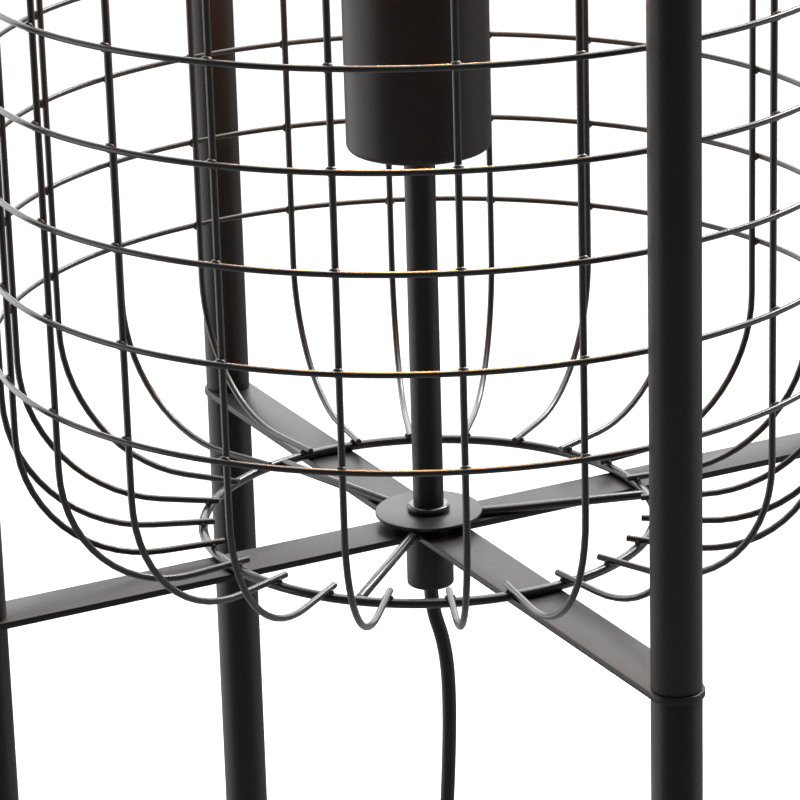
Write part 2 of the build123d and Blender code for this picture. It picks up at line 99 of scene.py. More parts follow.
def polar(angle):
    """A level unit vector."""
    return Vector((math.cos(angle), math.sin(angle), 0))


def linear(value):
    """An sRGB hex value as linear red, green and blue."""
    channels = [int(value[i:i + 2], 16) / 255 for i in (1, 3, 5)]
    return tuple(c / 12.92 if c <= 0.04045 else ((c + 0.055) / 1.055) ** 2.4 for c in channels)


def add_object(name, data):
    """A new object in the scene."""
    thing = bpy.data.objects.new(name, data)
    bpy.context.scene.collection.objects.link(thing)
    return thing


# ---- sizes and colours that a user would change


def length_in_mm(name, description, millimetres):
    return FloatProperty(name=name, description=description, default=millimetres * MM, unit="LENGTH")


def hex_colour(name, description, value):
    return FloatVectorProperty(name=name, description=description, default=linear(value), subtype="COLOR", size=3)


class CageSizes(PropertyGroup):
    """Wires of the cage."""

    hoop_wire: length_in_mm("Hoop wire", "Gauge of the hoops", 2.5)
    upright_wire: length_in_mm("Upright wire", "Gauge of the uprights", 2.8)
    ring_wire: length_in_mm("Ring wire", "Gauge of the end rings and spokes", 4.0)
    uprights: IntProperty(name="Uprights", description="Wires round the cage", default=24)
    knee: length_in_mm("Knee", "Bend radius of an upright, at the middle of the wire", 60.0)
    lap: length_in_mm("Lap", "How far an upright runs past the middle of the end ring", 5.0)
    spokes: IntProperty(name="Spokes", description="Spokes inside the low ring", default=3)
    weld: length_in_mm("Weld", "Length of the coated bead at a spot weld", 5.0)


class FrameSizes(PropertyGroup):
    """Tubes and flat bars."""

    tube_wall: length_in_mm("Tube wall", "Wall of the legs and poles", 1.2)
    bar_width: length_in_mm("Bar width", "Width of the flat bars", 22.0)
    edge_round: length_in_mm("Edge round", "Coated edge of the bars and tube ends", 0.35)
    sleeve_wall: length_in_mm("Sleeve wall", "Wall of the sleeve", 1.2)
    sleeve_corner: length_in_mm("Sleeve corner", "Rounding at the sleeve's closed end", 3.0)


class FittingSizes(PropertyGroup):
    """Foot switch, plug and bulb cap."""

    switch_wall: length_in_mm("Switch wall", "Wall of the foot switch", 2.0)
    switch_round: length_in_mm("Switch round", "Rounding round the switch's top", 5.0)
    switch_radius: length_in_mm("Switch radius", "Radius of the foot switch", 32.0)
    button_radius: length_in_mm("Button radius", "Radius of the foot button", 12.0)
    relief_wide: length_in_mm("Relief root", "Radius of a strain relief at its root", 6.0)
    relief_length: length_in_mm("Relief length", "Length of a strain relief", 20.0)
    plug_length: length_in_mm("Plug length", "Length of the plug's body", 36.0)
    plug_back: length_in_mm("Plug back", "Width of the plug's narrow end", 17.0)
    pin_spacing: length_in_mm("Pin spacing", "Between the pins' middles", 18.6)
    cap_thread: length_in_mm("Cap thread", "Pitch of the bulb cap's thread", 3.6)


class FinishColours(PropertyGroup):
    """Colours of the finishes, linear."""

    coat: hex_colour("Powder coat", "Black powder coat", "#1b1a1b")
    amber: hex_colour("Amber glass", "Tint of the bulb's glass", "#f2b55e")
    glow: hex_colour("Filament glow", "Colour of the filaments", "#ffae5c")
    filament_light: hex_colour("Filament light", "Light of the filaments before the glass", "#ffe6dc")


class StudioSettings(PropertyGroup):
    """Camera."""

    distance: FloatProperty(
        name="Distance", description="Camera to the lamp's axis, level", default=1.5401, unit="LENGTH")
    bearing: FloatProperty(
        name="Bearing", description="Camera's direction from the axis", subtype="ANGLE",
        default=math.radians(-72.06))
    height: FloatProperty(name="Height", description="Camera above the floor", default=1.3837, unit="LENGTH")
    pan: FloatProperty(name="Pan", description="Turn to the right of the axis", subtype="ANGLE", default=-0.00705)
    tilt: FloatProperty(name="Tilt", description="Angle below level", subtype="ANGLE", default=0.34049)
    roll: FloatProperty(name="Roll", description="Turn about the line of sight", subtype="ANGLE", default=-0.02917)
    lens: FloatProperty(name="Lens", description="Focal length for a 36 mm sensor", unit="CAMERA", default=174.72)


SETTINGS = {
    "lamp_cage": CageSizes,
    "lamp_frame": FrameSizes,
    "lamp_fitting": FittingSizes,
    "lamp_finish": FinishColours,
    "lamp_studio": StudioSettings,
}

# ---- materials

materials = {}
PATCH = 28 * MM  # handled patches in a coat
GLASS_WAVE = 18 * MM
GLOW_BAND = 20 * MM
FILAMENT_STRENGTH = 60.0

# Baked polyester powder: grain width and height in mm, roughness and its spread, gloss, and painted light tint. All
# are the same black coat. Where they differ, they are matched to how each piece looks in the photograph.
POWDER_COATS = {
    "textured_powder_coat": (1.1, 0.26, 0.43, 0.04, 0.05, WHITE),  # soft sheen, fine orange peel
    "plate_powder_coat": (1.1, 0.14, 0.42, 0.04, 0.18, WHITE),  # hub disc: smoother, catches more light
    "painted_bulb_light_coat": (1.1, 0.26, 0.43, 0.04, 0.05, (1.45, 1.05, 0.85)),  # sleeve: the bulb's warm light painted in as a browner black
    "smooth_powder_coat": (1.8, 0.004, 0.37, 0.03, 0.8, WHITE),  # hoops and uprights: a thin light line
    "gloss_powder_coat": (1.8, 0.004, 0.27, 0.03, 0.6, WHITE),  # spokes, end rings, collar: sharp highlights
}

# Colour, roughness, grain width and height in mm, metallic.
PLAIN_SURFACES = {
    "zinc_plate": ("#a9adb2", 0.32, 3, 0.05, 1),  # cool satin grey
    "moulded_foot": ("#1a1a1a", 0.55, 0.9, 0.05, 0),  # dull black polyethylene
    "thermoset_resin": ("#161413", 0.24, 2, 0.02, 0),  # hard brown-black shine
    "pressed_brass": ("#c9a458", 0.28, 4, 0.05, 1),  # warm yellow, bright where pressed
    "nickelled_cap": ("#b9a678", 0.3, 3, 0.05, 1),  # brass seen through thin nickel
    "black_vitrite": ("#0c0c14", 0.12, 2, 0.02, 0),  # glassy blue-black
    "nickel_wire": ("#8d8d8d", 0.35, 1, 0.05, 1),  # plain drawn grey
    "nylon_works": ("#cfcabb", 0.5, 2, 0.05, 0),  # milky white plastic
    "spark_moulding": ("#1b1b1c", 0.5, 0.7, 0.08, 0),  # matt grain of a spark-eroded mould
    "nickel_pin": ("#c3bfb4", 0.2, 3, 0.05, 1),  # bright polished plate
    "sheath_pvc": ("#1c1b1c", 0.36, 1.2, 0.03, 0),  # soft black with a waxy shine
}


def add_node(tree, kind, links=None, values=None, **settings):
    """Add a node. links and values map its inputs to sockets and to constants, and settings are its properties."""
    node = tree.nodes.new(f"ShaderNode{kind}")
    for key, value in settings.items():
        setattr(node, key, value)
    for key, value in (values or {}).items():
        node.inputs[key].default_value = value
    for key, socket in (links or {}).items():
        tree.links.new(socket, node.inputs[key])
    return node


def new_tree(name):
    """The empty node tree of a new material, which is kept in materials."""
    material = materials[name] = bpy.data.materials.new(name)
    material.use_nodes = True
    material.node_tree.nodes.clear()
    return material.node_tree


def by_ray(tree, ray, other, seen):
    """One shader for a kind of ray, and another for all others."""
    path = add_node(tree, "LightPath")
    return add_node(tree, "MixShader", {0: path.outputs[ray], 1: other.outputs[0], 2: seen.outputs[0]})


def rgba(colour, share=1.0):
    return (*(min(1.0, c * share) for c in colour), 1.0)


def grained_surface(name, colour, tones, grain, patch, roughness, bump, values):
    """One colour whose grain raises it, and whose patches, or the same grain, vary its tone and roughness."""
    tree = new_tree(name)
    place = add_node(tree, "TexCoord").outputs["Object"]
    raised = varied = add_node(tree, "TexNoise", {"Vector": place}, grain).outputs["Fac"]
    if patch:
        varied = add_node(tree, "TexNoise", {"Vector": place}, patch).outputs["Fac"]
    tone = add_node(tree, "Mix", {"Factor": varied}, {6: rgba(colour, tones[0]), 7: rgba(colour, tones[1])},
                    data_type="RGBA")
    dulled = add_node(tree, "MapRange", {"Value": varied}, {"To Min": roughness[0], "To Max": roughness[1]})
    bumps = add_node(tree, "Bump", {"Height": raised}, bump)
    shader = add_node(tree, "BsdfPrincipled",
                      {"Base Color": tone.outputs[2], "Roughness": dulled.outputs[0], "Normal": bumps.outputs[0]},
                      values)
    add_node(tree, "OutputMaterial", {"Surface": shader.outputs[0]})


def powder_coat(name, grain, depth, roughness, spread, gloss, painted_light_tint):
    """Baked polyester powder on steel: an even black with a fine orange-peel grain that breaks up its sheen.

    A weaker, sharper gloss lies over the soft one. Patches of a few centimetres are a little duller or brighter, as
    on any handled coat."""
    # The tint multiplies the black by a colour of painted warm light. It is white where no light is painted.
    coat = [c * w for c, w in zip(bpy.context.scene.lamp_finish.coat, painted_light_tint)]
    grained_surface(name, coat, (0.88, 1.14), {"Scale": 1 / (grain * MM), "Detail": 3, "Roughness": 0.55},
                    {"Scale": 1 / PATCH, "Detail": 2}, (roughness - spread, roughness + spread),
                    {"Strength": 0.5, "Distance": depth * MM},
                    {"IOR": 1.5, "Coat Weight": gloss, "Coat Roughness": 0.18})


def plain_surface(name, value, roughness, grain, depth, metallic):
    """A moulded plastic or a metal: one colour with a faint grain in tone, roughness and bump."""
    grained_surface(name, linear(value), (0.85, 1.12), {"Scale": 1 / (grain * MM), "Detail": 4}, None,
                    (roughness * 0.8, roughness * 1.2), {"Strength": 0.3, "Distance": depth * MM},
                    {"Metallic": metallic})


def blown_glass(name, tint, roughness):
    """Blown glass with faint waves. Rays from lamps pass it, so the filaments light the cage."""
    tree = new_tree(name)
    place = add_node(tree, "TexCoord").outputs["Object"]
    wave = add_node(tree, "TexNoise", {"Vector": place}, {"Scale": 1 / GLASS_WAVE, "Detail": 1})
    bump = add_node(tree, "Bump", {"Height": wave.outputs["Fac"]}, {"Strength": 0.2, "Distance": 0.3 * MM})
    shader = add_node(tree, "BsdfPrincipled", {"Normal": bump.outputs[0]},
                      {"Base Color": rgba(tint), "Transmission Weight": 1.0, "Roughness": roughness, "IOR": 1.5})
    # A ray crosses both faces of the wall, so each face takes the root of the tint.
    clear = add_node(tree, "BsdfTransparent", None, {"Color": rgba([math.sqrt(c) for c in tint])})
    surface = by_ray(tree, "Is Shadow Ray", shader, clear)
    add_node(tree, "OutputMaterial", {"Surface": surface.outputs[0]})


def glowing_filament(name, colour, strength):
    """A filament of chips under warm phosphor: it glows, brighter along its middle bands."""
    tree = new_tree(name)
    place = add_node(tree, "TexCoord").outputs["Object"]
    band = add_node(tree, "TexWave", {"Vector": place}, {"Scale": 1 / GLOW_BAND}, bands_direction="Z")
    level = add_node(tree, "MapRange", {"Value": band.outputs["Fac"]},
                     {"To Min": 0.75 * strength, "To Max": strength})
    shader = add_node(tree, "BsdfPrincipled", {"Emission Strength": level.outputs[0]},
                      {"Base Color": rgba(colour), "Emission Color": rgba(colour), "Roughness": 0.5})
    add_node(tree, "OutputMaterial", {"Surface": shader.outputs[0]})


# ---- mesh helpers

VERT, EDGE = bmesh.types.BMVert, bmesh.types.BMEdge


def only(kind, geom):
    """The elements of one kind."""
    return [g for g in geom if isinstance(g, kind)]


def edges_at(verts):
    """The edges that meet these vertices."""
    return list({edge for vert in verts for edge in vert.link_edges})


def level_edges(mesh_data, level):
    """The edges that lie level at a height."""
    return [e for e in mesh_data.edges if all(abs(v.co.z - level) < SAME for v in e.verts)]


def extrude_edges(mesh_data, edges):
    """Extrude edges. Gives the new vertices, and the new edges between them."""
    made = bmesh.ops.extrude_edge_only(mesh_data, edges=edges)["geom"]
    verts = only(VERT, made)
    fresh = set(verts)
    return verts, [e for e in only(EDGE, made) if fresh.issuperset(e.verts)]


def bevel_edges(mesh_data, edges, offset, segments, clamp=False):
    bmesh.ops.bevel(mesh_data, geom=edges, offset=offset, segments=segments, profile=0.5, affect="EDGES",
                    clamp_overlap=clamp, material=-1)


def finish_piece(mesh_data, name, material, node, smooth_angle=40, body="frame"):
    """Turn a bmesh into a finished piece that stands for a node and rides on a body."""
    bmesh.ops.remove_doubles(mesh_data, verts=mesh_data.verts, dist=SAME)
    bmesh.ops.recalc_face_normals(mesh_data, faces=mesh_data.faces)
    mesh = bpy.data.meshes.new(name)
    mesh_data.to_mesh(mesh)
    mesh_data.free()
    mesh.shade_smooth()
    mesh.set_sharp_from_angle(angle=math.radians(smooth_angle))
    mesh.materials.append(materials[material])
    piece = add_object(name, mesh)
    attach(piece, body)
    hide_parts(node)
    return piece


def give_wall(piece, thickness):
    """A wall inside a shell."""
    wall = piece.modifiers.new("wall", "SOLIDIFY")
    wall.thickness = thickness
    wall.offset = INWARDS


def spin_round(mesh_data, geom, steps):
    """Spin once about the vertical axis."""
    bmesh.ops.spin(mesh_data, geom=geom, cent=ORIGIN, axis=(0, 0, 1), angle=math.tau, steps=steps, use_merge=True)


def lathe(points, rounds=(), centre=ORIGIN, steps=64, segments=5):
    """A turned piece: a profile of (radius, height) points spun once about a vertical axis.

    rounds pairs a corner's index with its radius. A profile that starts off the axis is closed on itself."""
    if points[0][0]:
        points = [*points, points[0]]
    turned = bmesh.new()
    corners = [turned.verts.new((radius, 0, height)) for radius, height in points]
    for pair in zip(corners, corners[1:]):
        turned.edges.new(pair)
    for index, radius in rounds:
        bmesh.ops.bevel(turned, geom=[corners[index]], offset=radius, segments=segments, profile=0.5,
                        affect="VERTICES", offset_type="OFFSET", material=-1)
    spin_round(turned, turned.edges[:] + turned.verts[:], steps)
    bmesh.ops.remove_doubles(turned, verts=turned.verts, dist=SAME / 10)
    bmesh.ops.translate(turned, verts=turned.verts, vec=centre)
    return turned


def wire_ring(mesh_data, radius, gauge, level, steps=160, sides=14):
    """A closed ring of round wire, added to mesh_data."""
    turn = Matrix.Translation((radius, 0, level)) @ Matrix.Rotation(math.radians(90), 4, "X")
    verts = bmesh.ops.create_circle(mesh_data, segments=sides, radius=gauge / 2, matrix=turn)["verts"]
    spin_round(mesh_data, verts + edges_at(verts), steps)


def round_rod(mesh_data, start, end, gauge, end_round, sides=20):
    """A straight round rod with slightly rounded ends, added to mesh_data."""
    start, end = Vector(start), Vector(end)
    along = end - start
    turn = Matrix.Translation((start + end) / 2) @ along.to_track_quat("Z", "Y").to_matrix().to_4x4()
    rod = bmesh.ops.create_cone(mesh_data, cap_ends=True, segments=sides, radius1=gauge / 2, radius2=gauge / 2,
                                depth=along.length, matrix=turn)
    rims = [e for e in edges_at(rod["verts"]) if any(len(f.verts) > 4 for f in e.link_faces)]
    bevel_edges(mesh_data, rims, end_round, 2)


def weld_bead(mesh_data, size, place):
    """A small swelling of the coat over a weld, added to mesh_data."""
    bead = bmesh.ops.create_icosphere(mesh_data, subdivisions=2, radius=0.5)["verts"]
    bmesh.ops.scale(mesh_data, verts=bead, vec=size)
    bmesh.ops.translate(mesh_data, verts=bead, vec=place)


def merge(mesh_data, other):
    """Add another bmesh to mesh_data and free it."""
    mesh = bpy.data.meshes.new("merged")
    other.to_mesh(mesh)
    other.free()
    mesh_data.from_mesh(mesh)
    bpy.data.meshes.remove(mesh)


def aimed(turned, start, way):
    """A turned piece with its axis laid along way from start."""
    turn = Vector(way).to_track_quat("Z", "Y").to_matrix().to_4x4()
    bmesh.ops.transform(turned, matrix=Matrix.Translation(Vector(start)) @ turn, verts=turned.verts)
    return turned


def strain_relief(start, way, length, wide, narrow, ribs=5):
    """A tapered relief for a cord: a cone with grooves cut into it, solid to both ends."""
    points = [(0, 0), (wide, 0)]
    first, grooved = length * 0.16, length * 0.78
    pitch = grooved / ribs
    groove = ((0, 0), (0.12, 0.16), (0.42, 0.16), (0.54, 0))  # share of the pitch, share of the radius
    for rib in range(ribs):
        for share, depth in groove:
            level = first + (rib + share) * pitch
            radius = wide + (narrow - wide) * level / length
            points.append((radius * (1 - depth), level))
    points += [(narrow, length), (0, length)]
    return aimed(lathe(points, [(len(points) - 2, 0.4 * MM)], steps=40), start, way)


# ---- operators: one for each group of pieces


class BuildFinishes(Operator):
    """Make every finish"""

    bl_idname = "cage_lamp.finishes"
    bl_label = "Finishes"

    def execute(self, context):
        finish = context.scene.lamp_finish
        for name, numbers in POWDER_COATS.items():
            powder_coat(name, *numbers)
        for name, numbers in PLAIN_SURFACES.items():
            plain_surface(name, *numbers)
        blown_glass("amber_glass", finish.amber, 0.01)
        blown_glass("clear_glass", linear("#f9f9f7"), 0.03)
        glowing_filament("phosphor_glow", finish.glow, FILAMENT_STRENGTH)
        return {"FINISHED"}


class BuildTubes(Operator):
    """Legs and poles, as smooth tubes with a wall"""

    bl_idname = "cage_lamp.tubes"
    bl_label = "Tubes"

    def execute(self, context):
        sizes = context.scene.lamp_frame
        rounds = [(2, sizes.edge_round), (1, sizes.edge_round)]
        for node in [f"{kind}_{number}" for kind in ("leg", "pole") for number in CORNERS]:
            low, high = heights(node)
            outer = radius_of(node)
            inner = outer - sizes.tube_wall
            tube = lathe([(inner, low), (outer, low), (outer, high), (inner, high)], rounds, foot_of(node), 64, 3)
            finish_piece(tube, f"{node}_tube", "textured_powder_coat", node)
        return {"FINISHED"}


class BuildCapScrews(Operator):
    """Domed heads on the poles"""

    bl_idname = "cage_lamp.cap_screws"
    bl_label = "Cap screws"

    def execute(self, context):
        end, top = heights("cap_screws")
        seat = heights("upper_cross")[1]
        radius = radius_of("pole_1")
        shank, rim, dome = 4.0 * MM, 1.2 * MM, 1.1 * MM
        section = [(0, top), (radius * 0.55, top - dome), (radius, seat + rim), (radius, seat), (shank, seat),
                   (shank, end), (0, end)]
        heads = bmesh.new()
        for number in CORNERS:
            merge(heads, lathe(section, [(2, 0.5 * MM), (1, 3 * MM)], foot_of(f"pole_{number}"), 48, 6))
        finish_piece(heads, "pole_cap_heads", "textured_powder_coat", "cap_screws")
        return {"FINISHED"}


class BuildCrosses(Operator):
    """Two flat bars that cross in one plane, their ends rounded about the poles"""

    bl_idname = "cage_lamp.crosses"
    bl_label = "Crosses"

    def execute(self, context):
        sizes = context.scene.lamp_frame
        half = sizes.bar_width / 2
        corner = centre_of("pole_1")
        reach = math.hypot(corner.x, corner.y)
        sharp = 1.2  # an edge of the bar turns by more than this, in radians
        for node in ("lower_cross", "upper_cross"):
            low, high = heights(node)
            cross = bmesh.new()
            bmesh.ops.create_grid(cross, x_segments=1, y_segments=1, size=half)
            for edge in cross.edges[:]:
                outward = (edge.verts[0].co + edge.verts[1].co).normalized()
                across = Vector((-outward.y, outward.x, 0))
                ends, end_edges = extrude_edges(cross, [edge])
                bmesh.ops.translate(cross, verts=ends, vec=outward * (reach - half))
                split = bmesh.ops.subdivide_edges(cross, edges=end_edges, cuts=31)
                for point in only(VERT, split["geom_inner"]):
                    angle = point.co.dot(across) / half * math.pi / 2
                    point.co = outward * (reach + half * math.cos(angle)) + across * half * math.sin(angle)
            bmesh.ops.rotate(cross, verts=cross.verts, cent=ORIGIN, matrix=Matrix.Rotation(math.pi / 4, 3, "Z"))
            bmesh.ops.translate(cross, verts=cross.verts, vec=(0, 0, low))
            top = bmesh.ops.extrude_face_region(cross, geom=cross.faces[:])["geom"]
            bmesh.ops.translate(cross, verts=only(VERT, top), vec=(0, 0, high - low))
            bmesh.ops.recalc_face_normals(cross, faces=cross.faces)
            rims = [e for e in cross.edges if len(e.link_faces) == 2 and e.calc_face_angle(0) > sharp
                    and abs(e.verts[0].co.z - e.verts[1].co.z) < 10 * SAME]
            bevel_edges(cross, rims, sizes.edge_round, 2, clamp=True)
            finish_piece(cross, f"{node}_bars", "textured_powder_coat", node, smooth_angle=35)
        return {"FINISHED"}


class BuildRings(Operator):
    """Hoops outside the uprights, each its own piece, and the low and high ring of the cage"""

    bl_idname = "cage_lamp.rings"
    bl_label = "Hoops and end rings"

    def execute(self, context):
        sizes = context.scene.lamp_cage
        rings = [(f"cage_hoop_{n:02d}", f"hoop_wire_{n:02d}", HOOP_RADIUS, sizes.hoop_wire, 14, "smooth_powder_coat")
                 for n in HOOPS]
        rings += [(node, f"{node}_wire", RING_RADIUS, sizes.ring_wire, 18, "gloss_powder_coat")
                  for node in ("cage_low_ring", "cage_high_ring")]
        for node, name, radius, gauge, sides, finish in rings:
            ring = bmesh.new()
            wire_ring(ring, radius, gauge, centre_of(node).z, sides=sides)
            finish_piece(ring, name, finish, node, smooth_angle=60)
        return {"FINISHED"}


class BuildUprights(Operator):
    """Uprights, bent in at both ends, with the coated weld beads where they cross the hoops and rings"""

    bl_idname = "cage_lamp.uprights"
    bl_label = "Uprights"

    def execute(self, context):
        sizes = context.scene.lamp_cage
        low_ring, high_ring = centre_of("cage_low_ring").z, centre_of("cage_high_ring").z
        inset = (sizes.ring_wire + sizes.upright_wire) / 2 + TOUCH
        low, high = low_ring + inset, high_ring - inset
        radius = HOOP_RADIUS - (sizes.hoop_wire + sizes.upright_wire) / 2 - TOUCH
        knee = sizes.knee
        start = RING_RADIUS - sizes.lap
        straight = radius - knee
        wire = bmesh.new()
        turn = Matrix.Translation((start, 0, low)) @ Matrix.Rotation(math.radians(90), 4, "Y")
        end = bmesh.ops.create_circle(wire, segments=14, radius=sizes.upright_wire / 2, cap_ends=True,
                                      matrix=turn)["verts"]
        end += edges_at(end)

        def run(loop, offset):
            verts, edges = extrude_edges(wire, only(EDGE, loop))
            bmesh.ops.translate(wire, verts=verts, vec=offset)
            return verts + edges

        def bend(loop, centre):
            made = bmesh.ops.spin(wire, geom=loop, cent=centre, axis=(0, 1, 0), angle=-math.pi / 2, steps=14)
            return only((VERT, EDGE), made["geom_last"])

        end = run(end, (straight - start, 0, 0))
        end = bend(end, (straight, 0, low + knee))
        end = run(end, (0, 0, high - low - 2 * knee))
        end = bend(end, (straight, 0, high - knee))
        end = run(end, (start - straight, 0, 0))
        bmesh.ops.contextual_create(wire, geom=only(EDGE, end))
        proud = 0.1 * MM  # the beads stand out a little
        crossings = [((radius + HOOP_RADIUS) / 2 + proud, centre_of(f"cage_hoop_{n:02d}").z) for n in HOOPS]
        crossings += [(RING_RADIUS, (low + low_ring) / 2), (RING_RADIUS, (high + high_ring) / 2)]
        for where, level in crossings:
            weld_bead(wire, (3.1 * MM, sizes.weld, sizes.weld * 0.9), (where, 0, level))
        turn = Matrix.Rotation(math.pi / sizes.uprights, 3, "Z")
        bmesh.ops.rotate(wire, verts=wire.verts, cent=ORIGIN, matrix=turn)
        copies = sizes.uprights - 1
        bmesh.ops.spin(wire, geom=wire.verts[:] + wire.edges[:] + wire.faces[:], cent=ORIGIN, axis=(0, 0, 1),
                       angle=math.tau * copies / sizes.uprights, steps=copies, use_duplicate=True)
        finish_piece(wire, "upright_wires", "smooth_powder_coat", "cage_uprights", smooth_angle=50)
        return {"FINISHED"}


class BuildSpokes(Operator):
    """Spokes in the plane of the low ring, butted against it and welded under the hub disc"""

    bl_idname = "cage_lamp.spokes"
    bl_label = "Spokes"

    def execute(self, context):
        sizes = context.scene.lamp_cage
        gauge = sizes.ring_wire
        lift = Vector((0, 0, centre_of("cage_low_ring").z))
        root, weld_depth = 8 * MM, 2.4 * MM
        spokes = bmesh.new()
        for index in range(sizes.spokes):
            way = polar(math.radians(30 + 360 * index / sizes.spokes))
            round_rod(spokes, way * root + lift, way * (RING_RADIUS - gauge / 2) + lift, gauge, 0.3 * MM)
            weld_bead(spokes, (4.6 * MM, 4.6 * MM, 3.6 * MM), way * (RING_RADIUS - weld_depth) + lift)
        finish_piece(spokes, "ring_spokes", "gloss_powder_coat", "cage_spokes", smooth_angle=50)
        return {"FINISHED"}


class BuildHub(Operator):
    """Hub disc, collar bead, stem tube and cord outlet"""

    bl_idname = "cage_lamp.hub"
    bl_label = "Hub and stem"

    def execute(self, context):
        disc = "hub_disc_plate", "plate_powder_coat", [(2, 0.3 * MM), (1, 0.45 * MM)], 96, 3
        bead = "stem_bead", "gloss_powder_coat", [(2, 1.0 * MM), (1, 1.4 * MM)], 64, 6
        pipe = "stem_pipe", "textured_powder_coat", [], 64, 5
        for node, hole, (name, material, rounds, steps, segments) in (
                ("cage_hub_disc", CONDUIT_HOLE, disc), ("stem_collar", radius_of("stem_tube") + TOUCH, bead),
                ("stem_tube", 5.3 * MM, pipe)):
            low, high = heights(node)
            outer = radius_of(node)
            section = [(hole, high), (outer, high), (outer, low), (hole, low)]
            turned = lathe(section, rounds, steps=steps, segments=segments)
            finish_piece(turned, name, material, node)

        low, high = heights("cord_outlet")
        outer = radius_of("cord_outlet")
        neck, chamber, floor, thread = 4.55 * MM, 7.0 * MM, 3 * MM, 11 * MM
        section = [(THREAD_HOLE, high), (outer, high), (outer, low), (neck, low), (neck, low + floor),
                   (chamber, low + floor), (chamber, high - thread), (THREAD_HOLE, high - thread)]
        outlet = lathe(section, [(2, 1.0 * MM), (1, 0.3 * MM)], segments=3)
        finish_piece(outlet, "outlet_cup", "textured_powder_coat", "cord_outlet")
        return {"FINISHED"}


class BuildLampholder(Operator):
    """The lampholder, and the sleeve round it: closed flat end below, open above"""

    bl_idname = "cage_lamp.lampholder"
    bl_label = "Sleeve and lampholder"

    def execute(self, context):
        sizes = context.scene.lamp_frame
        low, high = heights("sleeve")
        outer = radius_of("sleeve")
        wall, corner, rim = sizes.sleeve_wall, sizes.sleeve_corner, 0.3 * MM
        inner, floor = outer - wall, low + wall
        section = [(CONDUIT_HOLE, low), (outer, low), (outer, high), (inner, high), (inner, floor),
                   (CONDUIT_HOLE, floor)]
        sleeve = lathe(section, [(4, corner - wall), (3, rim), (2, rim), (1, corner)], steps=96, segments=6)
        # The sleeve's coat has the bulb's warm light painted into its colour as a browner black.
        finish_piece(sleeve, "sleeve_can", "painted_bulb_light_coat", "sleeve")

        low, high = heights("lampholder")
        radius, bore = radius_of("lampholder"), radius_of("holder_screw_shell")
        cavity = heights("holder_screw_shell")[0]
        neck, neck_top, shoulder = 12 * MM, low + 9 * MM, low + 16 * MM
        section = [(THREAD_HOLE, low), (neck, low), (neck, neck_top), (radius, shoulder), (radius, high),
                   (bore, high), (bore, cavity), (THREAD_HOLE, cavity)]
        body = lathe(section, [(5, 0.8 * MM), (4, 0.8 * MM), (3, 2 * MM), (2, 1 * MM), (1, 0.6 * MM)], steps=72)
        finish_piece(body, "holder_body", "thermoset_resin", "lampholder")
        return {"FINISHED"}


class BuildBulb(Operator):
    """The amber globe bulb"""

    bl_idname = "cage_lamp.bulb"
    bl_label = "Bulb"

    def execute(self, context):
        low, high = heights("bulb_glass")
        globe = radius_of("bulb_glass") + 0.15 * MM
        neck, shoulder, glass_wall = 13.2 * MM, 30 * MM, 0.8 * MM
        middle = high - globe
        drop = math.sqrt((globe + shoulder) ** 2 - (neck + shoulder) ** 2)
        sweep = math.atan2(drop, neck + shoulder)
        glass = bmesh.new()
        tip = [glass.verts.new((0, 0, high))]
        for centre, angle, steps in (((0, 0, middle), math.pi / 2 + sweep, 40),
                                     ((neck + shoulder, 0, middle - drop), -sweep, 12)):
            made = bmesh.ops.spin(glass, geom=tip, cent=centre, axis=(0, 1, 0), angle=angle, steps=steps)
            tip = only(VERT, made["geom_last"])
        glass.edges.new((tip[0], glass.verts.new((neck, 0, low))))
        spin_round(glass, glass.edges[:] + glass.verts[:], 72)
        give_wall(finish_piece(glass, "bulb_globe", "amber_glass", "bulb_glass", 70, "bulb"),
                  glass_wall)
        return {"FINISHED"}


